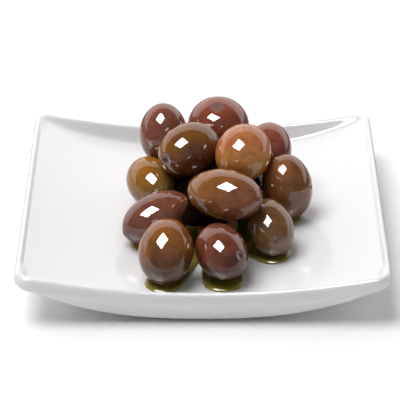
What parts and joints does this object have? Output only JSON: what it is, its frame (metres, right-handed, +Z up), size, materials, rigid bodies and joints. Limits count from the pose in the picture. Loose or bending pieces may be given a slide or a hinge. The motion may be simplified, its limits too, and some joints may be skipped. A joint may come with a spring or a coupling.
{
  "type": "dish of olives",
  "caption": "Square white porcelain dish curved up at two sides, holding a heap of whole brown olives in a shallow pool of olive oil.",
  "frame": {"origin": "middle of the underside, on the plane that the foot ring stands on", "axes": "+Z up; X between the two raised edges, Y between the two low walls, with -Y towards the picture's viewer"},
  "size_m": [0.14, 0.14, 0.0481],
  "materials": {
    "porcelain": "smooth clear glaze over bright white porcelain",
    "olive_skin": "oily, glossy brown olive skin, from golden olive to purple brown",
    "olive_oil": "clear yellow-green oil with a wet gloss"
  },
  "bodies": {
    "root": {"dish": "porcelain", "olive_heap": "olive_skin", "oil": "olive_oil"}
  },
  "joints": []
}
